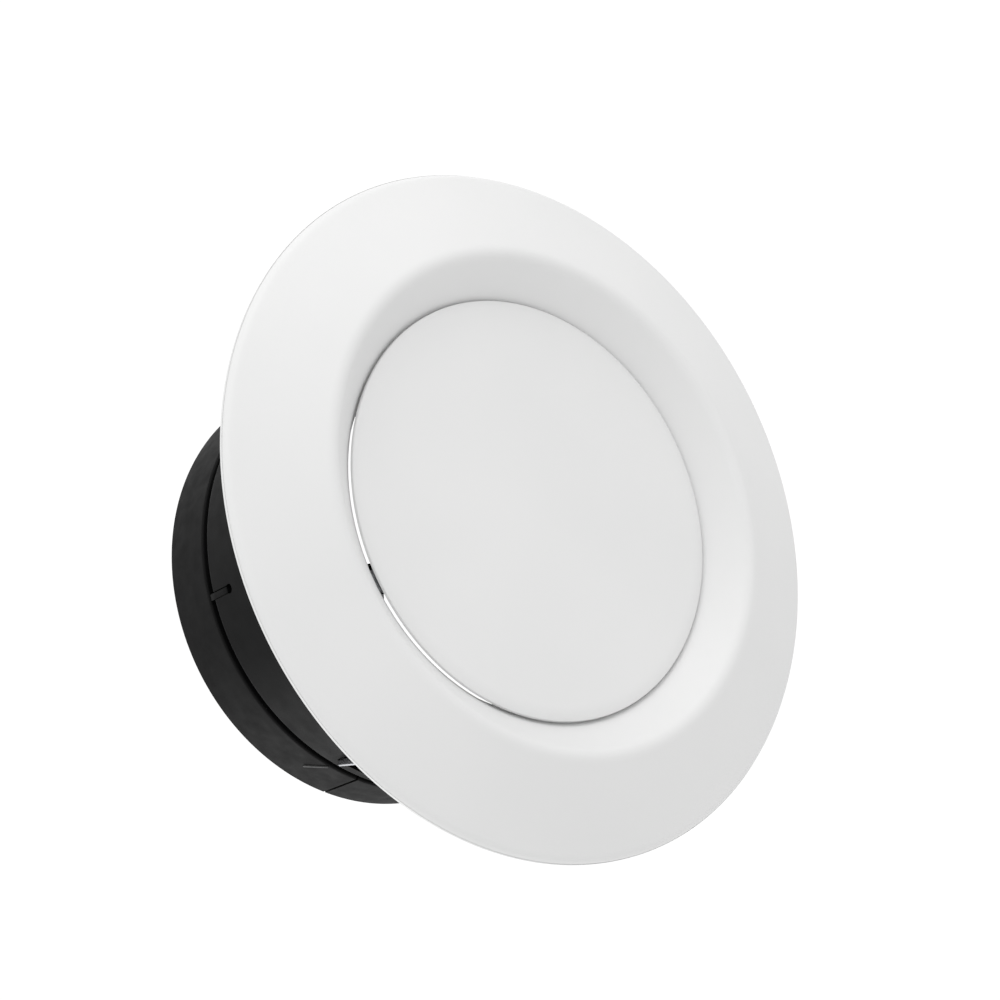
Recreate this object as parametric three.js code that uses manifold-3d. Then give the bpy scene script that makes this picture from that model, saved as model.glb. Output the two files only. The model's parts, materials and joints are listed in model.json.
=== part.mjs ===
// Ceiling air diffuser: a round disc valve for a 100 mm duct, hanging in its installed pose.
// Millimetres, +Z up into the duct. The origin is on the axis, in the plane of the ceiling
// that the flange's back rests against. Everything with z below 0 is on the room side.
import * as THREE from 'three';
import { mergeVertices } from 'three/addons/utils/BufferGeometryUtils.js';
import Module from 'manifold-3d';

const wasm = await Module();
wasm.setup();

// Driving dimensions
const FLANGE_R = 75; // outer radius of the white flange
const RIM_EDGE = 1.2; // height of the flange's flat outer edge
const CREST_R = 54; // radius of the raised lip round the throat
const CREST_DROP = 9.1; // depth below the ceiling at which its slopes would meet, before rounding
const THROAT_R = 45.7; // where the throat's wide cone meets the steeper one
const THROAT_Z = -0.3;
const SHELL = 2; // wall of the white mouldings
const NECK_R = 42.1; // inner radius of the neck and of the duct opening
const NECK_END = 38;
const DISC_R = 45.9;
const DISC_FACE_Z = -2.6; // face of the valve disc when set nearly closed
const DISC_BACK_Z = -0.8;
const SLEEVE_R = 49.3; // outer radius of the black collar, for a 100 mm duct
const SLEEVE_WALL = 2.5;
const SLEEVE_START = 4;
const SLEEVE_END = 63.8;
const SHOULDER_Z = 48.8; // rear shoulder of the collar; the groove starts here
const BAND_Z = 50.5; // front edge of the sealing band
const GAP = 0.3; // clearance between pieces that touch
const THREAD_R = 3; // M6 spindle
const BORE_R = THREAD_R + GAP;
const NUT_AF = 10; // across flats
const SPINDLE_END = 70.2;
const CLIP = [64, 64.8]; // retaining clip near the spindle's end
const BOSS_SCREW_R = 14;
const BOSS_SCREW_ANGLES = [90, 210, 330];
const HUB_Z = 32.8; // front face of the bridge's hub
const HUB_BACK = HUB_Z + 7.6;
const HUB_R = 12.6;
const HUB_SCREW_X = 8.6;
const COVER = [HUB_BACK + GAP, HUB_BACK + GAP + 1.9]; // plate over the captive nut
const ARM_T = 1.5; // thickness of the bridge's upright arms
const LUG_ANGLES = [30, 150, 270];
const TWIST = 25; // turn that frees the bayonet
const FIN_ANGLES = [217, 340, 103]; // nearly even, clear of the bridge's slots
const FIN_T = 0.6;
const FIN_ROOT_R = 48; // fold axis of the retaining fins, inside the collar's wall
const FIN_Z = [8.5, 46];
const SLIT_ANGLE = 208;
const ROUND = 56; // segments round the large pieces
const MEDIUM_ROUND = 36;
const SMALL_ROUND = 24;

const rad = THREE.MathUtils.degToRad;

// ---------- helpers ----------

// Drawn geometry as a solid for cutting and joining.
function solid(geometry) {
  const bare = geometry.clone();
  bare.deleteAttribute('normal');
  bare.deleteAttribute('uv');
  const merged = mergeVertices(bare, 1e-4);
  const mesh = new wasm.Mesh({
    numProp: 3,
    vertProperties: new Float32Array(merged.attributes.position.array),
    triVerts: new Uint32Array(merged.index.array),
  });
  return new wasm.Manifold(mesh);
}

function geometryOf(manifold) {
  const mesh = manifold.getMesh();
  const geometry = new THREE.BufferGeometry();
  const positions = new Float32Array(mesh.vertProperties);
  geometry.setAttribute('position', new THREE.BufferAttribute(positions, 3));
  geometry.setIndex(new THREE.BufferAttribute(new Uint32Array(mesh.triVerts), 1));
  geometry.computeVertexNormals();
  return geometry;
}

// Corners [x, y, fillet] become a list of points, each fillet a short curve.
function rounded(corners, closed = true, steps = 2) {
  const points = [];
  corners.forEach(([x, y, fillet = 0], i) => {
    const here = new THREE.Vector2(x, y);
    const isEnd = !closed && (i === 0 || i === corners.length - 1);
    if (!fillet || isEnd) {
      points.push(here);
      return;
    }
    const [px, py] = corners[(i + corners.length - 1) % corners.length];
    const [nx, ny] = corners[(i + 1) % corners.length];
    const before = new THREE.Vector2(px, py).sub(here).setLength(fillet).add(here);
    const after = new THREE.Vector2(nx, ny).sub(here).setLength(fillet).add(here);
    points.push(...new THREE.QuadraticBezierCurve(before, here, after).getPoints(steps));
  });
  return points;
}

// A ring or a turned solid about Z. Corners are [radius, z, fillet], counter-clockwise.
function turned(corners, segments = ROUND, closed = true) {
  const points = rounded(corners, closed);
  if (closed) points.push(points[0].clone());
  return new THREE.LatheGeometry(points, segments).rotateX(Math.PI / 2);
}

function tube(inner, outer, low, high, segments = SMALL_ROUND) {
  return turned([[inner, low], [outer, low], [outer, high], [inner, high]], segments);
}

function rod(radius, low, high, segments = SMALL_ROUND) {
  const cylinder = new THREE.CylinderGeometry(radius, radius, high - low, segments);
  return cylinder.rotateX(Math.PI / 2).translate(0, 0, (low + high) / 2);
}

function box(x, y, z) {
  const geometry = new THREE.BoxGeometry(x[1] - x[0], y[1] - y[0], z[1] - z[0]);
  return geometry.translate((x[0] + x[1]) / 2, (y[0] + y[1]) / 2, (z[0] + z[1]) / 2);
}

// Part of a ring between two angles in degrees.
function arc(inner, outer, low, high, from, to) {
  const shape = new THREE.Shape();
  shape.absarc(0, 0, outer, rad(from), rad(to), false);
  shape.absarc(0, 0, inner, rad(to), rad(from), true);
  const options = { depth: high - low, bevelEnabled: false, curveSegments: 8 };
  return new THREE.ExtrudeGeometry(shape, options).translate(0, 0, low);
}

// A flat upright plate along +X, centred on y = 0. Corners are [x, z, fillet].
function upright(corners, thickness) {
  const outline = new THREE.Shape(rounded(corners));
  const plate = new THREE.ExtrudeGeometry(outline, { depth: thickness, bevelEnabled: false });
  return plate.translate(0, 0, -thickness / 2).rotateX(Math.PI / 2);
}

function hexPrism(acrossFlats, low, high) {
  return rod(acrossFlats / Math.sqrt(3), low, high, 6);
}

function around(geometry, degrees, radius = 0) {
  return geometry.clone().translate(radius, 0, 0).rotateZ(rad(degrees));
}

function joined(base, pieces) {
  return pieces.reduce((sum, piece) => sum.add(solid(piece)), solid(base));
}

function cut(base, pieces) {
  return pieces.reduce((rest, piece) => rest.subtract(solid(piece)), base);
}

// ---------- materials ----------

const finish = {
  whitePlastic: { color: 0xeeeeec, roughness: 0.42, metalness: 0 },
  blackPlastic: { color: 0x1f1f20, roughness: 0.5, metalness: 0 },
  blackRubber: { color: 0x242425, roughness: 0.62, metalness: 0 },
  greyFoam: { color: 0x5d5f62, roughness: 0.95, metalness: 0 },
  zincSteel: { color: 0xb9bcc0, roughness: 0.35, metalness: 1 },
  springSteel: { color: 0x8f9296, roughness: 0.3, metalness: 1 },
};

function piece(name, geometry, finishName) {
  const mesh = new THREE.Mesh(geometry, new THREE.MeshStandardMaterial(finish[finishName]));
  mesh.name = name;
  return mesh;
}

// ---------- white face unit ----------

// Flange, throat and neck in one moulding, with three bayonet lugs on the neck.
function faceRing() {
  const slope = (CREST_DROP - RIM_EDGE) / (FLANGE_R - CREST_R);
  const backAt = (r) => -RIM_EDGE - (FLANGE_R - r) * slope + SHELL;
  const landR = FLANGE_R - 3; // inner edge of the flat land that meets the ceiling
  const profile = turned([
    [FLANGE_R, -RIM_EDGE, 1.6],
    [FLANGE_R, 0],
    [landR, 0],
    [landR - 0.8, backAt(landR - 0.8)],
    [54.6, backAt(54.6), 3],
    [THROAT_R + 1.7, 0.75, 0.6],
    [NECK_R + SHELL, 6.7, 1],
    [NECK_R + SHELL, NECK_END],
    [NECK_R, NECK_END],
    [NECK_R, 6.2, 1.2],
    [THROAT_R, THROAT_Z, 0.5],
    [CREST_R, -CREST_DROP, 1.8],
  ]);
  const neckOuter = NECK_R + SHELL;
  const lugs = LUG_ANGLES.map((a) => arc(neckOuter - 0.5, 46.4, 29.7, 33.2, a - 7, a + 7));
  return geometryOf(joined(profile, lugs));
}

// Foam strip that seals the flange against the ceiling, in the hollow behind the flange.
function ceilingGasket() {
  return turned([[60.4, -3.4], [67.4, -1.2], [67.4, 0], [60.4, 0]]);
}

// ---------- black collar ----------

// Bore in which a fin's root lies, with a shallow pocket beside it so that the fin can fold.
function finChannel(degrees) {
  const wedge = new THREE.Shape();
  wedge.moveTo(-FIN_T / 2 - GAP, 0);
  wedge.lineTo(-FIN_T / 2 - GAP, 2);
  wedge.lineTo(8, 2);
  wedge.lineTo(7.4, -0.2);
  wedge.lineTo(0.43, -0.61);
  const options = { depth: FIN_Z[1] - FIN_Z[0] + 2 * GAP, bevelEnabled: false };
  const flare = new THREE.ExtrudeGeometry(wedge, options).translate(0, 0, FIN_Z[0] - GAP);
  const bore = rod(1, FIN_Z[0] - 2, FIN_Z[1] + 1.7, 12);
  return [flare, bore].map((shape) => around(shape.rotateZ(-Math.PI / 2), degrees, FIN_ROOT_R));
}

function mountingSleeve() {
  const inner = SLEEVE_R - SLEEVE_WALL;
  const spigotR = 45.2; // seat of the sealing band
  const tubeWall = turned([
    [SLEEVE_R, SLEEVE_START, 0.6],
    [SLEEVE_R, SHOULDER_Z, 0.6],
    [spigotR, SHOULDER_Z],
    [spigotR, SLEEVE_END - 0.2],
    [NECK_R, SLEEVE_END - 0.2],
    [NECK_R, 46],
    [inner, 43],
    [inner, SLEEVE_START],
  ]);
  // Bayonet ledge behind which the face ring's lugs lock, with an entry gap for each lug.
  const ledgeR = 44.6;
  const rootR = inner + 0.5;
  const ledges = LUG_ANGLES.map((a) => arc(ledgeR, rootR, 26, 29.4, a + TWIST + 9, a + TWIST + 111));
  const stops = LUG_ANGLES.flatMap((a) => [
    arc(ledgeR, rootR, 29, 36, a - 10.6, a - 7.6),
    arc(ledgeR, rootR, 29, 36, a + TWIST + 7.6, a + TWIST + 10.6),
  ]);
  const slotHalf = ARM_T / 2 + GAP;
  const slots = [-1, 1].flatMap((side) => {
    const y = side > 0 ? [38, 51] : [-51, -38];
    return [
      box([-slotHalf, slotHalf], y, [42.6, SLEEVE_END + 1]),
      around(rod(1.3, 0, 13, 16).rotateY(Math.PI / 2), side * 90, 38).translate(0, 0, 42.6),
    ];
  });
  const channels = FIN_ANGLES.flatMap((a) => finChannel(a));
  return geometryOf(cut(joined(tubeWall, [...ledges, ...stops]), [...slots, ...channels]));
}

// Elastic band round the rear of the collar, split so that it can be sprung into place.
function sealingBand() {
  const inner = 45.5;
  const ring = turned([
    [inner, BAND_Z],
    [SLEEVE_R, BAND_Z, 0.6],
    [SLEEVE_R, SLEEVE_END, 0.5],
    [inner, SLEEVE_END],
  ]);
  const slit = box([44, 51], [-0.3, 0.3], [BAND_Z - 1, SLEEVE_END + 1]);
  return geometryOf(cut(solid(ring), [around(slit, SLIT_ANGLE)]));
}

// Spring blade that folds about its root to let the collar into the duct. Built along +X.
function retainingFin() {
  const blade = upright([
    [FIN_ROOT_R, FIN_Z[0]],
    [55, FIN_Z[0], 2],
    [57.2, 13, 2],
    [54.6, 26, 4],
    [52.3, 37.5, 4],
    [50.6, FIN_Z[1], 0.6],
    [FIN_ROOT_R, FIN_Z[1]],
  ], FIN_T);
  const root = rod(0.7, FIN_Z[0] - 1.7, FIN_Z[1] + 1.4, 12).translate(FIN_ROOT_R, 0, 0);
  return geometryOf(joined(blade, [root]));
}

// ---------- bridge across the duct ----------

// One moulding: the hub and two cranked arms whose ends sit in the collar's slots.
function bridgeBar() {
  const hub = turned([
    [BORE_R, HUB_Z],
    [HUB_R, HUB_Z, 0.8],
    [HUB_R, HUB_BACK, 0.5],
    [BORE_R, HUB_BACK],
  ], MEDIUM_ROUND);
  const armTop = BAND_Z - GAP;
  const arm = upright([
    [HUB_R - 2, HUB_BACK - 2.9],
    [13, HUB_BACK - 2.6],
    [22, 40.2, 3],
    [36, 43.5, 3],
    [SLEEVE_R - 0.1, 43.5],
    [SLEEVE_R - 0.1, armTop],
    [36, armTop, 3],
    [22, 44.8, 3],
    [HUB_R, HUB_BACK],
    [HUB_R - 2, HUB_BACK],
  ], ARM_T);
  const pocket = hexPrism(NUT_AF + 2 * GAP, HUB_Z + 2.6, HUB_BACK + 1);
  const pilots = [-1, 1].map((side) => {
    const hole = rod(1, HUB_Z + 2.8, HUB_BACK + 1, 12);
    return hole.translate(side * HUB_SCREW_X, 0, 0);
  });
  return geometryOf(cut(joined(hub, [around(arm, 90), around(arm, 270)]), [pocket, ...pilots]));
}

function hubCover() {
  const [low, high] = COVER;
  const plate = turned([
    [BORE_R, low],
    [11.6, low],
    [11.6, high, 0.5],
    [BORE_R, high],
  ], MEDIUM_ROUND);
  const holes = [-1, 1].flatMap((side) => [
    rod(1.1, low - 1, high + 1, 16).translate(side * HUB_SCREW_X, 0, 0),
    rod(2.2, high - 0.9, high + 1, 16).translate(side * HUB_SCREW_X, 0, 0),
  ]);
  return geometryOf(cut(solid(plate), holes));
}

// A small screw with a cross recess, its head ending at z = top, pointing down.
function smallScrew(top, length, headR, headH, shankR) {
  const body = turned([
    [0, top - length],
    [shankR * 0.4, top - length],
    [shankR, top - length + 1],
    [shankR, top - headH],
    [headR, top - headH],
    [headR, top, 0.3],
    [0, top],
  ], 16, false);
  const half = headR * 0.55;
  const recess = box([-half, half], [-0.25, 0.25], [top - 0.5, top + 1]);
  return geometryOf(cut(solid(body), [recess, around(recess, 90)]));
}

function hexNut(low, high) {
  const blank = solid(hexPrism(NUT_AF, low, high));
  const chamfer = solid(turned([
    [0, low - 0.1],
    [5.1, low - 0.1],
    [5.9, low + 0.7],
    [5.9, high - 0.7],
    [5.1, high + 0.1],
    [0, high + 0.1],
  ], SMALL_ROUND, false));
  const bore = solid(rod(BORE_R, low - 1, high + 1));
  return geometryOf(blank.intersect(chamfer).subtract(bore));
}

// ---------- valve disc and its spindle ----------

function valveDisc() {
  const plate = turned([
    [0, DISC_FACE_Z],
    [DISC_R - 1.6, DISC_FACE_Z + 0.15, 1.5],
    [DISC_R, DISC_FACE_Z + 0.7, 0.5],
    [DISC_R, DISC_BACK_Z - 0.7, 0.3],
    [DISC_R - 0.8, DISC_BACK_Z, 0.3],
    [0, DISC_BACK_Z],
  ], ROUND, false);
  const post = rod(2.6, DISC_BACK_Z - 0.4, 1, 16);
  const pilot = rod(1.1, DISC_BACK_Z + 0.2, 2, 12);
  const posts = BOSS_SCREW_ANGLES.map((a) => around(post, a, BOSS_SCREW_R));
  const pilots = BOSS_SCREW_ANGLES.map((a) => around(pilot, a, BOSS_SCREW_R));
  return geometryOf(cut(joined(plate, posts), pilots));
}

// Plate screwed to the back of the disc; it holds the spindle's hexagon head.
function discBoss() {
  const plate = turned([
    [0, 1.3],
    [18, 1.3, 0.3],
    [18, 3.3, 0.5],
    [8.4, 3.3, 1],
    [7.4, 12, 0.5],
    [0, 12],
  ], MEDIUM_ROUND, false);
  const bore = rod(BORE_R, 0, 13);
  const pocket = hexPrism(NUT_AF + 2 * GAP, 0, 5.3);
  const holes = BOSS_SCREW_ANGLES.map((a) => around(rod(1.2, 0, 4, 12), a, BOSS_SCREW_R));
  return geometryOf(cut(solid(plate), [bore, pocket, ...holes]));
}

function spindle() {
  const shank = turned([
    [0, 3],
    [THREAD_R, 3],
    [THREAD_R, CLIP[0] - GAP],
    [2.2, CLIP[0] - GAP],
    [2.2, CLIP[1] + GAP],
    [THREAD_R, CLIP[1] + GAP],
    [THREAD_R, SPINDLE_END, 0.6],
    [0, SPINDLE_END],
  ], SMALL_ROUND, false);
  return geometryOf(solid(hexPrism(NUT_AF, 1, 5)).add(solid(shank)));
}

// Retaining clip, open on one side, in the spindle's groove.
function spindleClip() {
  const ring = solid(tube(2.5, 5.4, CLIP[0], CLIP[1]));
  const mouth = box([0, 7], [-2, 2], [CLIP[0] - 1, CLIP[1] + 1]);
  return geometryOf(cut(ring, [mouth]));
}

// Fluted thumb nut that locks the spindle's setting.
function lockNut() {
  const low = HUB_Z - 7.3;
  const high = HUB_Z - 1.8;
  const body = turned([
    [BORE_R, low],
    [8, low, 0.8],
    [8, high, 0.5],
    [BORE_R, high],
  ], MEDIUM_ROUND);
  const flute = rod(1.1, low - 1, high + 1, 8);
  const flutes = Array.from({ length: 12 }, (_, i) => around(flute, i * 30, 8.4));
  return geometryOf(cut(solid(body), flutes));
}

// ---------- assembly ----------

const diffuser = new THREE.Group();

const faceUnit = new THREE.Group();
faceUnit.add(piece('face_ring', faceRing(), 'whitePlastic'));
faceUnit.add(piece('ceiling_gasket', ceilingGasket(), 'greyFoam'));
diffuser.add(faceUnit);

const ductUnit = new THREE.Group();
ductUnit.add(piece('mounting_sleeve', mountingSleeve(), 'blackPlastic'));
ductUnit.add(piece('sealing_band', sealingBand(), 'blackRubber'));
ductUnit.add(piece('bridge_bar', bridgeBar(), 'blackPlastic'));
ductUnit.add(piece('captive_nut', hexNut(HUB_Z + 2.9, HUB_BACK - GAP), 'zincSteel'));
ductUnit.add(piece('hub_cover', hubCover(), 'blackPlastic'));
[-1, 1].forEach((side, i) => {
  const shape = smallScrew(COVER[1] - 0.1, 5.6, 1.9, 0.5, 0.7);
  const screw = piece(`hub_screw_${i + 1}`, shape, 'zincSteel');
  screw.position.x = side * HUB_SCREW_X;
  ductUnit.add(screw);
});
FIN_ANGLES.forEach((angle, i) => {
  const fin = piece(`retaining_fin_${i + 1}`, retainingFin(), 'springSteel');
  fin.rotation.z = rad(angle);
  ductUnit.add(fin);
});
diffuser.add(ductUnit);

const valveUnit = new THREE.Group();
valveUnit.add(piece('valve_disc', valveDisc(), 'whitePlastic'));
valveUnit.add(piece('disc_boss', discBoss(), 'whitePlastic'));
BOSS_SCREW_ANGLES.forEach((angle, i) => {
  const screw = piece(`boss_screw_${i + 1}`, smallScrew(4.9, 5.2, 2, 1.3, 0.8), 'zincSteel');
  const turn = rad(angle);
  screw.position.set(BOSS_SCREW_R * Math.cos(turn), BOSS_SCREW_R * Math.sin(turn), 0);
  valveUnit.add(screw);
});
valveUnit.add(piece('spindle', spindle(), 'zincSteel'));
valveUnit.add(piece('jam_nut', hexNut(12.3, 15.8), 'zincSteel'));
valveUnit.add(piece('spindle_clip', spindleClip(), 'springSteel'));
valveUnit.add(piece('end_washer', tube(BORE_R, 7.5, 65.1, 66.1), 'zincSteel'));
valveUnit.add(piece('end_nut', hexNut(66.4, 69.4), 'zincSteel'));
diffuser.add(valveUnit);

const lockUnit = new THREE.Group();
const lockWasher = tube(BORE_R, 10.6, HUB_Z - 1.5, HUB_Z - GAP, MEDIUM_ROUND);
lockUnit.add(piece('lock_washer', lockWasher, 'zincSteel'));
lockUnit.add(piece('lock_nut', lockNut(), 'whitePlastic'));
diffuser.add(lockUnit);

export default diffuser;
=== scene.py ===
"""Ceiling air diffuser: fine meshes, materials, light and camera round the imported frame."""

import json
import math

import bmesh
import bpy
from mathutils import Matrix, Vector

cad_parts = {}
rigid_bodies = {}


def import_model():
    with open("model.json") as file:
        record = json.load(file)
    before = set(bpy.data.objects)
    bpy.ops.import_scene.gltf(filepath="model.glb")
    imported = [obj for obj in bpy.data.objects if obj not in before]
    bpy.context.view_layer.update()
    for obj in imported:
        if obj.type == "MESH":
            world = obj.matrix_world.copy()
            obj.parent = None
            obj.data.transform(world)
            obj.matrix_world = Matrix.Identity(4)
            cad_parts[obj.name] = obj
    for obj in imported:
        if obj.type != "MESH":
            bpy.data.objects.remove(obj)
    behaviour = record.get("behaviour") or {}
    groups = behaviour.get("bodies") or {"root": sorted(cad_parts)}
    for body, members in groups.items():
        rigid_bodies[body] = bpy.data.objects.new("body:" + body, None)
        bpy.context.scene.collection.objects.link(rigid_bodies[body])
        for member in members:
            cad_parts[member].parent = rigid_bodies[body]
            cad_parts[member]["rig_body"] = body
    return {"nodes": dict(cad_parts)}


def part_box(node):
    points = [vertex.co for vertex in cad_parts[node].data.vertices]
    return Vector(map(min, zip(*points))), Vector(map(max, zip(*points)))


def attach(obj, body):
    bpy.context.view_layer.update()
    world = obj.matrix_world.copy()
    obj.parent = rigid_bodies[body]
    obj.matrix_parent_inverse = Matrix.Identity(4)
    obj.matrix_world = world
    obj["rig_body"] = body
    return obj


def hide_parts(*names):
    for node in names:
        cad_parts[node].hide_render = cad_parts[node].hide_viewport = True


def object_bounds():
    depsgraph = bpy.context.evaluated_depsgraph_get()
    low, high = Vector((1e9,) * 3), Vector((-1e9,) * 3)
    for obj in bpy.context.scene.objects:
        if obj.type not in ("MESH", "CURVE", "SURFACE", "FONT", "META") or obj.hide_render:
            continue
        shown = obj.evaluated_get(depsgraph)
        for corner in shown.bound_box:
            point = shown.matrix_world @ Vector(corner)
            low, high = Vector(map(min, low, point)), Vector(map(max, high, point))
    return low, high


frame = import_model()
cad_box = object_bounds()

# ---------- sizes, in millimetres ----------

MM = 0.001  # meshes are in metres
ROUND = 240  # segments round the large mouldings
MEDIUM = 96
SMALL = 48
GAP = 0.3  # clearance between pieces that touch
SHARP_DEG = 32  # edges that turn more than this are shown sharp


def low(node):
    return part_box(node)[0] / MM


def high(node):
    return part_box(node)[1] / MM


def centre(node):
    return (low(node) + high(node)) / 2


def angle_of(node):
    """Direction of a node from the axis, in degrees."""
    middle = centre(node)
    return math.degrees(math.atan2(middle.y, middle.x))


FLANGE_R = high("face_ring").x
NECK_END = high("face_ring").z
NECK_R = 42.1
NECK_START = 6.2  # where the throat's steeper cone meets the neck
THROAT_R = 45.7  # where the throat's wide cone meets the steeper one
THROAT_Z = -0.3
SHELL = 2.0
RIM_EDGE = 1.2
CREST_R = 54.0
CREST_CORNER_Z = -9.1  # where the crest's two slopes meet, before rounding
CREST_FILLET = 2.05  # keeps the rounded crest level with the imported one
DISC_R = high("valve_disc").x
DISC_FACE_Z = low("valve_disc").z
DISC_BACK_Z = -0.8
SLEEVE_R = high("sealing_band").x
SLEEVE_START = low("mounting_sleeve").z
SLEEVE_END = high("sealing_band").z
SLEEVE_WALL = 2.5
SHOULDER_Z = 48.8  # rear shoulder of the collar
SPIGOT_R = 45.2  # seat of the sealing band on the collar
LEDGE_R = 44.6  # inner edge of the collar's bayonet ledge
BAND_Z = low("sealing_band").z
HUB_Z = low("bridge_bar").z
HUB_BACK = low("hub_cover").z - GAP
HUB_R = 12.6
HUB_FLOOR = HUB_Z + 2.6  # floor of the captive nut's pocket
ARM_T = 1.5
ARM_Z = 43.5  # front edge of the arms where they enter the collar
ARM_SLOT_START = 42.6
ARM_SLOT_GAP = 0.12  # the slots are closed up a little round the arms
THREAD_R = 3.0
THREAD_PITCH = 1.0
THREAD_DEPTH = 0.5
BORE_R = THREAD_R + GAP
NUT_AF = 10.0  # across flats
LUG_ANGLES = (30, 150, 270)
LUG_TWIST = 25
LUG_HALF_WIDTH = 7  # in degrees
FIN_Z = (8.5, 46.0)
FIN_ROOT_R = 48.0
FIN_T = 0.6
SLIT_ANGLE = 208
RIDGE_ANGLE = 218.3  # middle of the slanted ridge on the sealing band
RIDGE_SLANT = -27.4
RIDGE_Z = 53.8
FINS = [n for n in sorted(frame["nodes"]) if n.startswith("retaining_fin")]
HUB_SCREWS = [n for n in sorted(frame["nodes"]) if n.startswith("hub_screw")]
BOSS_SCREWS = [n for n in sorted(frame["nodes"]) if n.startswith("boss_screw")]


# ---------- mesh helpers ----------


def shade(mesh):
    """Smooth faces, with the edges that turn sharply kept sharp."""
    bm = bmesh.new()
    bm.from_mesh(mesh)
    bmesh.ops.remove_doubles(bm, verts=bm.verts, dist=1e-7)
    bmesh.ops.dissolve_degenerate(bm, edges=bm.edges, dist=1e-7)
    for face in bm.faces:
        face.smooth = True
    for edge in bm.edges:
        turn = edge.calc_face_angle(0.0)
        edge.smooth = turn < math.radians(SHARP_DEG)
    bm.to_mesh(mesh)
    bm.free()


def piece_from(bm, name):
    mesh = bpy.data.meshes.new(name)
    bm.to_mesh(mesh)
    bm.free()
    shade(mesh)
    obj = bpy.data.objects.new(name, mesh)
    bpy.context.scene.collection.objects.link(obj)
    return obj


def outline(corners, closed=True, steps=7, support=0.35):
    """Corners (x, y, fillet) as points, each fillet a short curve.

    Long edges get a point near each end, so that smooth shading stays flat between them.
    """
    points = []
    count = len(corners)
    for i, corner in enumerate(corners):
        here = Vector(corner[:2])
        fillet = corner[2] if len(corner) > 2 else 0.0
        if not fillet or (not closed and i in (0, count - 1)):
            points.append(here)
            continue
        before = here + (Vector(corners[i - 1][:2]) - here).normalized() * fillet
        after = here + (Vector(corners[(i + 1) % count][:2]) - here).normalized() * fillet
        for k in range(steps + 1):
            t = k / steps
            points.append(before * (1 - t) ** 2 + here * 2 * t * (1 - t) + after * t**2)
    held = []
    for a, b in zip(points, points[1:] + points[:1] if closed else points[1:]):
        held.append(a)
        length = (b - a).length
        if length > 3 * support:
            toward = (b - a).normalized() * support
            held += [a + toward, b - toward]
    if not closed:
        held.append(points[-1])
    return held


def turned(name, corners, segments=ROUND, closed=True, steps=7):
    """A piece turned about Z, from corners (radius, height, fillet), counter-clockwise."""
    bm = bmesh.new()
    rings = []
    for r, z in outline(corners, closed, steps):
        if r < 1e-6:
            rings.append([bm.verts.new((0, 0, z * MM))] * segments)
            continue
        turns = [math.tau * k / segments for k in range(segments)]
        circle = [(r * math.cos(t), r * math.sin(t), z) for t in turns]
        rings.append([bm.verts.new(Vector(point) * MM) for point in circle])
    for a, b in zip(rings, rings[1:] + rings[:1] if closed else rings[1:]):
        for k in range(segments):
            n = (k + 1) % segments
            corners_of_face = list(dict.fromkeys([a[k], a[n], b[n], b[k]]))
            if len(corners_of_face) > 2:
                bm.faces.new(corners_of_face)
    return piece_from(bm, name)


def prism(name, points, depth, edge=0.0, steps=2):
    """A flat outline in XY extruded up Z from 0 to depth, with its rims rounded by edge."""
    bm = bmesh.new()
    face = bm.faces.new([bm.verts.new((x * MM, y * MM, 0)) for x, y in points])
    top = bmesh.ops.extrude_face_region(bm, geom=[face])
    moved = [v for v in top["geom"] if isinstance(v, bmesh.types.BMVert)]
    bmesh.ops.translate(bm, verts=moved, vec=(0, 0, depth * MM))
    bmesh.ops.recalc_face_normals(bm, faces=bm.faces)
    if edge:
        rims = [e for e in bm.edges if e.calc_face_angle(0.0) > math.radians(SHARP_DEG)]
        size = edge * MM
        bmesh.ops.bevel(bm, geom=rims, offset=size, segments=steps, profile=0.5, affect="EDGES")
    return piece_from(bm, name)


def block(name, x, y, z, edge=0.0):
    """A box between two places along each axis."""
    corners = [(x[0], y[0]), (x[1], y[0]), (x[1], y[1]), (x[0], y[1])]
    return shift(prism(name, corners, z[1] - z[0], edge), z=z[0])


def upright(name, corners, thickness, edge=0.0):
    """A flat plate standing along +X, centred on y = 0, from corners (x, z, fillet)."""
    plate = prism(name, outline(corners, support=2), thickness, edge)
    shift(plate, z=-thickness / 2)
    return move(plate, Matrix.Rotation(math.pi / 2, 4, "X"))


def rod(name, radius, z, edge=0.0, segments=SMALL):
    corners = [(0, z[0]), (radius, z[0], edge), (radius, z[1], edge), (0, z[1])]
    return turned(name, corners, segments, closed=False, steps=4)


def sector(name, inner, outer, z, start, end, edge=0.0):
    """Part of a ring between two angles in degrees."""
    steps = max(6, round((end - start) / 1.5))
    turns = [math.radians(start + (end - start) * k / steps) for k in range(steps + 1)]
    points = [(outer * math.cos(t), outer * math.sin(t)) for t in turns]
    points += [(inner * math.cos(t), inner * math.sin(t)) for t in reversed(turns)]
    return shift(prism(name, points, z[1] - z[0], edge), z=z[0])


def move(obj, matrix):
    """Moves a piece's mesh, so that its object stays at the origin of the frame."""
    obj.data.transform(matrix)
    return obj


def shift(obj, x=0.0, y=0.0, z=0.0):
    """Moves a piece along the axes, in millimetres."""
    return move(obj, Matrix.Translation((x * MM, y * MM, z * MM)))


def spun(obj, degrees, radius=0.0):
    """Moves a piece out along X and round the axis."""
    turn = Matrix.Rotation(math.radians(degrees), 4, "Z")
    return move(obj, turn @ Matrix.Translation((radius * MM, 0, 0)))


def hexagon(across_flats):
    r = across_flats / math.sqrt(3)
    turns = [math.radians(60 * k) for k in range(6)]
    return [(r * math.cos(t), r * math.sin(t)) for t in turns]


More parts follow.
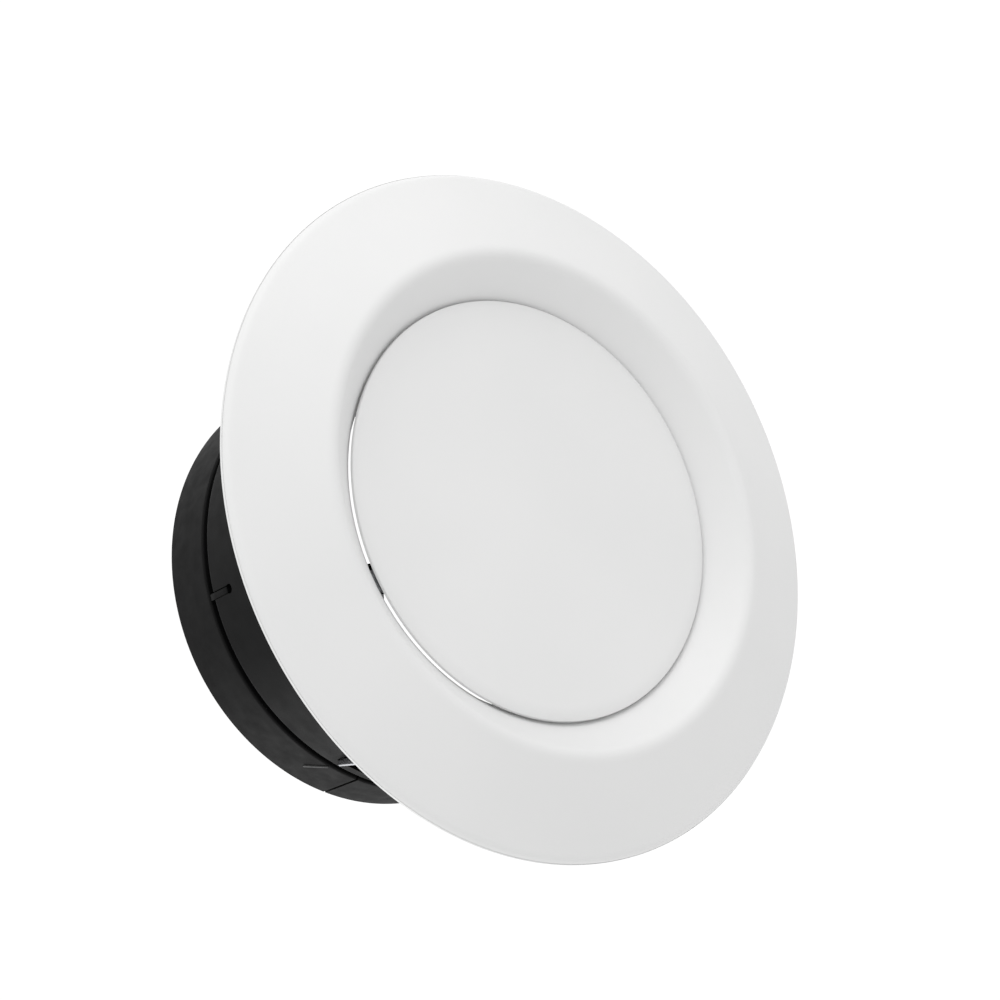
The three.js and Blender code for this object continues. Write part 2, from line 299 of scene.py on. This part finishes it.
def combine(obj, others, operation):
    """Joins other pieces to this one, cuts them from it, or keeps what they share."""
    for other in others:
        step = obj.modifiers.new("combine", "BOOLEAN")
        step.operation = operation
        step.solver = "EXACT"
        step.object = other
    graph = bpy.context.evaluated_depsgraph_get()
    mesh = bpy.data.meshes.new_from_object(obj.evaluated_get(graph))
    obj.modifiers.clear()
    obj.data = mesh
    for other in others:
        bpy.data.objects.remove(other)
    shade(mesh)
    return obj


def joined(obj, others):
    return combine(obj, others, "UNION")


def cut(obj, others):
    return combine(obj, others, "DIFFERENCE")


def shared(obj, others):
    return combine(obj, others, "INTERSECT")


# ---------- materials ----------


def shader(name, metallic=0.0, ior=1.5, gloss=0.5):
    """A new material with its Principled shader, and a function that adds and wires nodes."""
    made = bpy.data.materials.new(name)
    made.use_nodes = True
    tree = made.node_tree
    surface = tree.nodes["Principled BSDF"]
    surface.inputs["Metallic"].default_value = metallic
    surface.inputs["IOR"].default_value = ior
    surface.inputs["Specular IOR Level"].default_value = gloss
    place = tree.nodes.new("ShaderNodeTexCoord").outputs["Object"]

    def noise(scale, detail=2.0, stretch=(1, 1, 1)):
        """Soft random variation, finer for a larger scale."""
        spread = tree.nodes.new("ShaderNodeMapping")
        spread.inputs["Scale"].default_value = stretch
        grain = tree.nodes.new("ShaderNodeTexNoise")
        grain.inputs["Scale"].default_value = scale
        grain.inputs["Detail"].default_value = detail
        tree.links.new(place, spread.inputs["Vector"])
        tree.links.new(spread.outputs["Vector"], grain.inputs["Vector"])
        return grain.outputs["Fac"]

    def cells(scale):
        """Distance from the nearest of many scattered points."""
        spots = tree.nodes.new("ShaderNodeTexVoronoi")
        spots.inputs["Scale"].default_value = scale
        tree.links.new(place, spots.inputs["Vector"])
        return spots.outputs["Distance"]

    def between(driver, a, b, socket):
        """Drives a shader value from a to b."""
        span = tree.nodes.new("ShaderNodeMapRange")
        span.inputs["From Min"].default_value = 0.3
        span.inputs["From Max"].default_value = 0.7
        span.inputs["To Min"].default_value = a
        span.inputs["To Max"].default_value = b
        tree.links.new(driver, span.inputs["Value"])
        tree.links.new(span.outputs["Result"], surface.inputs[socket])

    def tint(driver, a, b):
        """Drives the colour between two colours."""
        ramp = tree.nodes.new("ShaderNodeValToRGB")
        ramp.color_ramp.elements[0].position = 0.3
        ramp.color_ramp.elements[0].color = (*a, 1)
        ramp.color_ramp.elements[1].position = 0.7
        ramp.color_ramp.elements[1].color = (*b, 1)
        tree.links.new(driver, ramp.inputs["Fac"])
        tree.links.new(ramp.outputs["Color"], surface.inputs["Base Color"])

    def relief(layers):
        """Bumps from (driver, height in millimetres) layers, one over another."""
        normal = None
        for driver, height in layers:
            bump = tree.nodes.new("ShaderNodeBump")
            bump.inputs["Distance"].default_value = height * MM
            tree.links.new(driver, bump.inputs["Height"])
            if normal:
                tree.links.new(normal, bump.inputs["Normal"])
            normal = bump.outputs["Normal"]
        tree.links.new(normal, surface.inputs["Normal"])

    return made, noise, cells, between, tint, relief


def white_plastic():
    made, noise, _, between, tint, relief = shader("white_plastic", ior=1.49)
    tint(noise(22), (0.795, 0.797, 0.795), (0.82, 0.82, 0.818))
    between(noise(160, 3), 0.40, 0.48, "Roughness")
    relief([(noise(30, 1), 0.05), (noise(1900, 2), 0.004)])
    return made


def black_plastic():
    made, noise, cells, between, tint, relief = shader("black_plastic", gloss=0.08)
    tint(noise(60), (0.0024, 0.0025, 0.0026), (0.0038, 0.0039, 0.004))
    between(noise(240, 3), 0.40, 0.52, "Roughness")
    relief([(noise(45, 2), 0.08), (cells(2600), 0.006)])
    return made


def black_rubber():
    made, noise, _, between, tint, relief = shader("black_rubber", gloss=0.11)
    tint(noise(90), (0.0035, 0.0035, 0.0036), (0.005, 0.005, 0.0052))
    between(noise(300, 3), 0.52, 0.64, "Roughness")
    relief([(noise(70, 2), 0.06), (noise(3000, 1), 0.006)])
    return made


def painted_highlight_rubber():
    """The same rubber, painted pale along a ridge: a painted highlight."""
    made, noise, _, between, tint, relief = shader("painted_highlight_rubber", gloss=0.5)
    # pale colour here is a painted highlight, not the rubber's own colour
    tint(noise(700, 3), (0.035, 0.035, 0.036), (0.075, 0.075, 0.076))
    between(noise(300, 3), 0.45, 0.6, "Roughness")
    relief([(noise(900, 2), 0.01)])
    return made


def grey_foam():
    made, noise, cells, between, tint, relief = shader("grey_foam")
    tint(cells(1500), (0.05, 0.051, 0.053), (0.13, 0.132, 0.136))
    between(noise(200), 0.9, 0.98, "Roughness")
    relief([(cells(1500), 0.25), (noise(4000, 2), 0.05)])
    return made


def zinc_steel():
    made, noise, _, between, tint, relief = shader("zinc_steel", metallic=1.0)
    tint(noise(120, 3), (0.42, 0.43, 0.45), (0.54, 0.545, 0.55))
    between(noise(500, 3), 0.24, 0.40, "Roughness")
    relief([(noise(900, 3), 0.006)])
    return made


def spring_steel():
    made, noise, _, between, tint, relief = shader("spring_steel", metallic=1.0)
    tint(noise(160, 2), (0.46, 0.47, 0.49), (0.58, 0.585, 0.60))
    between(noise(900, 2, (6, 6, 1)), 0.22, 0.36, "Roughness")
    relief([(noise(900, 2, (6, 6, 0.4)), 0.004)])
    return made


MATERIALS = {make.__name__: make() for make in (
    white_plastic, black_plastic, black_rubber, painted_highlight_rubber, grey_foam, zinc_steel,
    spring_steel,
)}


def install(obj, node, slot):
    """The piece stands for a CAD node: same body, with the finish of its slot."""
    obj.data.materials.clear()
    obj.data.materials.append(MATERIALS[slot])
    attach(obj, frame["nodes"][node]["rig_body"])
    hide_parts(node)
    return obj


# ---------- white face unit ----------


def face_ring():
    slope = (-RIM_EDGE - CREST_CORNER_Z) / (FLANGE_R - CREST_R)

    def back_at(r):
        return -RIM_EDGE - (FLANGE_R - r) * slope + SHELL

    land_r = FLANGE_R - 3  # flat rim at the back of the flange
    hollow_r = 54.6  # deepest line of the flange's hollow back
    neck_outer = NECK_R + SHELL
    ring = turned("face_ring_moulding", [
        (FLANGE_R, -RIM_EDGE, 1.6),
        (FLANGE_R, 0, 0.25),
        (land_r, 0, 0.25),
        (land_r - 0.8, back_at(land_r - 0.8), 0.4),
        (hollow_r, back_at(hollow_r), 3),
        (THROAT_R + 1.7, 0.75, 0.6),
        (neck_outer, NECK_START + 0.5, 1),
        (neck_outer, NECK_END, 0.5),
        (NECK_R, NECK_END, 0.5),
        (NECK_R, NECK_START, 1.2),
        (THROAT_R, THROAT_Z, 0.5),
        (CREST_R, CREST_CORNER_Z, CREST_FILLET),
    ])
    half = LUG_HALF_WIDTH
    lugs = [
        sector("lug", neck_outer - 0.5, 46.4, (29.7, 33.2), a - half, a + half, 0.3)
        for a in LUG_ANGLES
    ]
    return joined(ring, lugs)


def ceiling_gasket():
    lo, hi = low("ceiling_gasket"), high("ceiling_gasket")
    inner, outer = hi.x - 7, hi.x
    return turned("ceiling_gasket_foam", [
        (inner, lo.z, 0.5),
        (outer, lo.z + 2.2, 0.5),
        (outer, hi.z, 0.7),
        (inner, hi.z, 0.7),
    ])


# ---------- black collar ----------


def fin_channel(node):
    """What is cut from the collar for one fin: a pocket to fold into and a bore for its root."""
    pocket_side = -FIN_T / 2 - GAP
    section = [(pocket_side, 0), (pocket_side, 2), (8, 2), (7.4, -0.2), (0.43, -0.61)]
    pocket = prism("pocket", section, FIN_Z[1] - FIN_Z[0] + 2 * GAP)
    shift(pocket, z=FIN_Z[0] - GAP)
    bore = rod("bore", 1.0, (FIN_Z[0] - 2, FIN_Z[1] + 1.7), segments=24)
    for obj in (pocket, bore):
        move(obj, Matrix.Rotation(-math.pi / 2, 4, "Z"))
        spun(obj, 0, FIN_ROOT_R)
        spun(obj, angle_of(node))
    return [pocket, bore]


def mounting_sleeve():
    inner = SLEEVE_R - SLEEVE_WALL
    rear = high("mounting_sleeve").z
    wall = turned("mounting_sleeve_moulding", [
        (SLEEVE_R, SLEEVE_START, 0.6),
        (SLEEVE_R, SHOULDER_Z, 0.5),
        (SPIGOT_R, SHOULDER_Z, 0.3),
        (SPIGOT_R, rear, 0.3),
        (NECK_R, rear, 0.3),
        (NECK_R, 46, 0.5),
        (inner, 43, 0.5),
        (inner, SLEEVE_START, 0.4),
    ])
    root = inner + 0.5
    ledges = [
        sector("ledge", LEDGE_R, root, (26, 29.4), a + LUG_TWIST + 9, a + LUG_TWIST + 111, 0.3)
        for a in LUG_ANGLES
    ]
    stops = [
        sector("stop", LEDGE_R, root, (29, 36), start, start + 3, 0.3)
        for a in LUG_ANGLES
        for start in (a - 10.6, a + LUG_TWIST + 7.6)
    ]
    joined(wall, ledges + stops)
    half = ARM_T / 2 + ARM_SLOT_GAP
    slots = []
    for side in (-1, 1):
        y = sorted((side * 38, side * 51))
        slots.append(block("slot", (-half, half), y, (ARM_SLOT_START, SLEEVE_END + 1)))
        notch = rod("notch", 1.05, (38, 51), segments=24)
        move(notch, Matrix.Rotation(math.pi / 2, 4, "Y"))
        spun(notch, side * 90)
        slots.append(shift(notch, z=ARM_SLOT_START))
    channels = [part for node in FINS for part in fin_channel(node)]
    return cut(wall, slots + channels)


def sealing_band():
    seat = 45.5
    band = turned("sealing_band_rubber", [
        (seat, BAND_Z, 0.3),
        (SLEEVE_R, BAND_Z, 0.6),
        (SLEEVE_R, SLEEVE_END, 0.5),
        (seat, SLEEVE_END, 0.3),
    ])
    slit = block("slit", (44, 51), (-0.3, 0.3), (BAND_Z - 1, SLEEVE_END + 1))
    return cut(band, [spun(slit, SLIT_ANGLE)])


def band_ridge():
    """A slanted ridge moulded on the sealing band, with a painted highlight in its pale colour."""
    depth = (SLEEVE_R - 0.5, SLEEVE_R + 0.3)
    ridge = block("sealing_band_ridge", depth, (-0.2, 0.2), (-3.2, 3.2), 0.12)
    move(ridge, Matrix.Rotation(math.radians(RIDGE_SLANT), 4, "X"))
    shift(ridge, z=RIDGE_Z)
    return spun(ridge, RIDGE_ANGLE)


def retaining_fin(node):
    corners = [
        (FIN_ROOT_R, FIN_Z[0]),
        (55, FIN_Z[0], 2),
        (57.2, 13, 2),
        (54.6, 26, 4),
        (52.3, 37.5, 4),
        (50.6, FIN_Z[1], 0.6),
        (FIN_ROOT_R, FIN_Z[1]),
    ]
    blade = upright(node + "_blade", corners, FIN_T, 0.15)
    root = rod("root", 0.7, (low(node).z, high(node).z), 0.2, 24)
    joined(blade, [spun(root, 0, FIN_ROOT_R)])
    return spun(blade, angle_of(node))


# ---------- bridge across the duct ----------


def bridge_bar():
    hub = turned("bridge_bar_moulding", [
        (BORE_R, HUB_Z, 0.3),
        (HUB_R, HUB_Z, 0.8),
        (HUB_R, HUB_BACK, 0.5),
        (BORE_R, HUB_BACK, 0.3),
    ], MEDIUM)
    reach = high("bridge_bar").y
    top = high("bridge_bar").z
    side_view = [
        (HUB_R - 2, HUB_BACK - 2.9),
        (13, HUB_BACK - 2.6),
        (22, 40.2, 3),
        (36, ARM_Z, 3),
        (reach, ARM_Z),
        (reach, top),
        (36, top, 3),
        (22, 44.8, 3),
        (HUB_R, HUB_BACK),
        (HUB_R - 2, HUB_BACK),
    ]
    arms = [spun(upright("arm", side_view, ARM_T, 0.2), turn) for turn in (90, 270)]
    joined(hub, arms)
    pocket = shift(prism("pocket", hexagon(NUT_AF + 2 * GAP), 6), z=HUB_FLOOR)
    pilots = [
        shift(rod("pilot", 1.0, (HUB_FLOOR + 0.2, HUB_BACK + 1), segments=24), x=centre(n).x)
        for n in HUB_SCREWS
    ]
    return cut(hub, [pocket] + pilots)


def hub_cover():
    lo, hi = low("hub_cover"), high("hub_cover")
    plate = turned("hub_cover_moulding", [
        (BORE_R, lo.z, 0.2),
        (hi.x, lo.z, 0.2),
        (hi.x, hi.z, 0.5),
        (BORE_R, hi.z, 0.4),
    ], MEDIUM)
    holes = []
    for n in HUB_SCREWS:
        x = centre(n).x
        holes.append(shift(rod("hole", 1.1, (lo.z - 1, hi.z + 1), segments=24), x=x))
        holes.append(shift(rod("seat", 2.2, (hi.z - 0.9, hi.z + 1), segments=24), x=x))
    return cut(plate, holes)


# ---------- fasteners ----------


def cross_screw(node, head_h, shank_r):
    """A small screw with a domed head and a cross recess, its point towards the face."""
    lo, hi = low(node), high(node)
    top = hi.z
    head_r = (hi.x - lo.x) / 2
    body = turned(node + "_steel", [
        (0, lo.z),
        (shank_r * 0.4, lo.z),
        (shank_r, lo.z + 1, 0.2),
        (shank_r, top - head_h),
        (head_r, top - head_h, 0.1),
        (head_r, top - 0.15, 0.3),
        (head_r * 0.5, top),
        (0, top),
    ], SMALL, closed=False, steps=4)
    half = head_r * 0.55
    arms = [
        spun(block("recess", (-half, half), (-0.25, 0.25), (top - 0.5, top + 1)), a)
        for a in (0, 90)
    ]
    cut(body, arms)
    return shift(body, centre(node).x, centre(node).y)


def hex_nut(node):
    """A hexagon nut with chamfered corners and a countersunk bore."""
    z0, z1 = low(node).z, high(node).z
    nut = shift(prism(node + "_steel", hexagon(NUT_AF), z1 - z0), z=z0)
    flat = NUT_AF / 2
    barrel = turned("barrel", [
        (0, z0 - 0.1),
        (flat - 0.1, z0 - 0.1),
        (flat + 1.2, z0 + 0.65),
        (flat + 1.2, z1 - 0.65),
        (flat - 0.1, z1 + 0.1),
        (0, z1 + 0.1),
    ], MEDIUM, closed=False)
    shared(nut, [barrel])
    hole = turned("hole", [
        (0, z0 - 1),
        (BORE_R + 1.3, z0 - 1),
        (BORE_R, z0 + 0.3),
        (BORE_R, z1 - 0.3),
        (BORE_R + 1.3, z1 + 1),
        (0, z1 + 1),
    ], SMALL, closed=False)
    return cut(nut, [hole])


def spindle():
    """The spindle, with its M6 thread drawn as rings of the same pitch and depth."""
    lo, hi = low("spindle"), high("spindle")
    groove_start = low("spindle_clip").z - GAP
    groove_end = high("spindle_clip").z + GAP
    thread = []
    z = lo.z + 2
    while z < hi.z - 1.5 * THREAD_PITCH:
        thread += [(THREAD_R, z), (THREAD_R - THREAD_DEPTH, z + THREAD_PITCH / 2)]
        z += THREAD_PITCH
    shank = turned("spindle_steel", [
        (0, lo.z + 2),
        *thread,
        (THREAD_R, z, 0.1),
        (THREAD_R, hi.z, 0.6),
        (0, hi.z),
    ], SMALL, closed=False, steps=4)
    groove = turned("groove", [
        (2.2, groove_start),
        (4, groove_start),
        (4, groove_end),
        (2.2, groove_end),
    ], SMALL)
    head = shift(prism("head", hexagon(NUT_AF), 4, 0.2), z=lo.z)
    return cut(joined(shank, [head]), [groove])


def washer(node):
    lo, hi = low(node), high(node)
    return turned(node + "_steel", [
        (BORE_R, lo.z, 0.15),
        (hi.x, lo.z, 0.25),
        (hi.x, hi.z, 0.25),
        (BORE_R, hi.z, 0.15),
    ], MEDIUM)


def spindle_clip():
    lo, hi = low("spindle_clip"), high("spindle_clip")
    ring = turned("spindle_clip_steel", [
        (2.5, lo.z, 0.15),
        (hi.y, lo.z, 0.15),
        (hi.y, hi.z, 0.15),
        (2.5, hi.z, 0.15),
    ], MEDIUM)
    return cut(ring, [block("mouth", (0, 7), (-2, 2), (lo.z - 1, hi.z + 1))])


def lock_nut():
    lo, hi = low("lock_nut"), high("lock_nut")
    outer = 8.0
    body = turned("lock_nut_moulding", [
        (BORE_R, lo.z, 0.3),
        (outer, lo.z, 0.8),
        (outer, hi.z, 0.5),
        (BORE_R, hi.z, 0.3),
    ], MEDIUM)
    flutes = [
        spun(rod("flute", 1.1, (lo.z - 1, hi.z + 1), segments=24), 30 * i, 8.4) for i in range(12)
    ]
    return cut(body, flutes)


# ---------- valve disc ----------


def valve_disc():
    face, back = DISC_FACE_Z, DISC_BACK_Z
    disc = turned("valve_disc_moulding", [
        (0, face),
        (DISC_R - 1.6, face + 0.15, 1.5),
        (DISC_R, face + 0.7, 0.5),
        (DISC_R, back - 0.7, 0.3),
        (DISC_R - 0.8, back, 0.3),
        (0, back),
    ], ROUND, closed=False)
    posts = []
    pilots = []
    for n in BOSS_SCREWS:
        x, y, _ = centre(n)
        posts.append(shift(rod("post", 2.6, (back - 0.4, 1), 0.2), x, y))
        pilots.append(shift(rod("pilot", 1.1, (back + 0.2, 2), segments=24), x, y))
    return cut(joined(disc, posts), pilots)


def disc_boss():
    lo, hi = low("disc_boss"), high("disc_boss")
    plate = turned("disc_boss_moulding", [
        (0, lo.z),
        (hi.x, lo.z, 0.3),
        (hi.x, lo.z + 2, 0.5),
        (8.4, lo.z + 2, 1),
        (7.4, hi.z, 0.5),
        (0, hi.z),
    ], MEDIUM, closed=False)
    bore = rod("bore", BORE_R, (0, hi.z + 1))
    pocket = prism("pocket", hexagon(NUT_AF + 2 * GAP), 5.3)
    holes = [
        shift(rod("hole", 1.2, (0, 4), segments=24), centre(n).x, centre(n).y) for n in BOSS_SCREWS
    ]
    return cut(plate, [bore, pocket] + holes)


# ---------- the object ----------

install(face_ring(), "face_ring", "white_plastic")
gasket = install(ceiling_gasket(), "ceiling_gasket", "grey_foam")
install(mounting_sleeve(), "mounting_sleeve", "black_plastic")
install(sealing_band(), "sealing_band", "black_rubber")
ridge = install(band_ridge(), "sealing_band", "black_rubber")
# the ridge's pale material is a painted highlight
ridge.data.materials[0] = MATERIALS["painted_highlight_rubber"]
for fin in FINS:
    install(retaining_fin(fin), fin, "spring_steel")
install(bridge_bar(), "bridge_bar", "black_plastic")
install(hub_cover(), "hub_cover", "black_plastic")
for screw in HUB_SCREWS:
    install(cross_screw(screw, 0.5, 0.7), screw, "zinc_steel")
for screw in BOSS_SCREWS:
    install(cross_screw(screw, 1.3, 0.8), screw, "zinc_steel")
for nut in ("captive_nut", "jam_nut", "end_nut"):
    install(hex_nut(nut), nut, "zinc_steel")
for ring in ("end_washer", "lock_washer"):
    install(washer(ring), ring, "zinc_steel")
install(spindle_clip(), "spindle_clip", "spring_steel")
install(spindle(), "spindle", "zinc_steel")
install(valve_disc(), "valve_disc", "white_plastic")
install(disc_boss(), "disc_boss", "white_plastic")
install(lock_nut(), "lock_nut", "white_plastic")

# ---------- camera, light and floor ----------

# Where the camera stands below the ceiling, in metres, and its own right and up directions.
CAMERA_PLACE = Vector((-0.0928, -0.3640, -0.4178))
CAMERA_RIGHT = Vector((-0.24877, 0.76396, -0.59538))
CAMERA_UP = Vector((0.95328, 0.08433, -0.29010))
CAMERA_BACK = CAMERA_RIGHT.cross(CAMERA_UP)
MIDDLE = (cad_box[0] + cad_box[1]) / 2


def aimed(obj, place, right, up):
    """Puts a camera or light at a place, with its own right and up directions."""
    back = right.cross(up)
    turn = Matrix((right, up, back)).transposed().to_4x4()
    obj.matrix_world = Matrix.Translation(place) @ turn
    bpy.context.scene.collection.objects.link(obj)
    return obj


def softbox(name, right, up, back, size, power):
    """A square light, placed from the object's middle along the camera's directions, facing it."""
    lamp = bpy.data.lights.new(name, "AREA")
    lamp.size = size
    lamp.energy = power
    offset = CAMERA_RIGHT * right + CAMERA_UP * up + CAMERA_BACK * back
    side = offset.cross(CAMERA_RIGHT).normalized()
    across = side.cross(offset.normalized())
    return aimed(bpy.data.objects.new(name, lamp), MIDDLE + offset, across, side)


camera = bpy.data.cameras.new("camera")
camera.lens = 96.63
camera.sensor_width = 36
camera.clip_start = 0.01
holder = bpy.data.objects.new("camera", camera)
bpy.context.scene.camera = aimed(holder, CAMERA_PLACE, CAMERA_RIGHT, CAMERA_UP)

softbox("key", -0.35, 0.6, 0.45, 0.6, 0.8)
softbox("overhead", 0.1, 0.8, 0.15, 0.6, 1.4)
softbox("front", 0.0, 0.1, 0.9, 0.6, 0.5)
softbox("rear", -0.4, -0.7, -0.3, 0.5, 1.1)


def floor():
    """A pale floor well below the object."""
    bm = bmesh.new()
    bmesh.ops.create_grid(bm, x_segments=60, y_segments=60, size=30)
    obj = piece_from(bm, "floor")
    made, noise, _, between, tint, relief = shader("pale_floor")
    tint(noise(3), (0.78, 0.78, 0.78), (0.82, 0.82, 0.82))
    between(noise(40), 0.55, 0.65, "Roughness")
    relief([(noise(200), 0.1)])
    obj.data.materials.append(made)
    obj.location.z = -1.2
    return obj


floor()

world = bpy.data.worlds.new("studio")
bpy.context.scene.world = world
world.use_nodes = True
sky = world.node_tree
backdrop = sky.nodes["Background"]  # what the camera sees behind the object
backdrop.inputs["Color"].default_value = (1, 1, 1, 1)
backdrop.inputs["Strength"].default_value = 1.05
ambient = sky.nodes.new("ShaderNodeBackground")  # what lights the object
ambient.inputs["Color"].default_value = (1, 1, 1, 1)
ambient.inputs["Strength"].default_value = 0.97
seen = sky.nodes.new("ShaderNodeLightPath").outputs["Is Camera Ray"]
choice = sky.nodes.new("ShaderNodeMixShader")
sky.links.new(seen, choice.inputs["Fac"])
sky.links.new(ambient.outputs["Background"], choice.inputs[1])
sky.links.new(backdrop.outputs["Background"], choice.inputs[2])
sky.links.new(choice.outputs["Shader"], sky.nodes["World Output"].inputs["Surface"])
bpy.context.scene.view_settings.view_transform = "Standard"
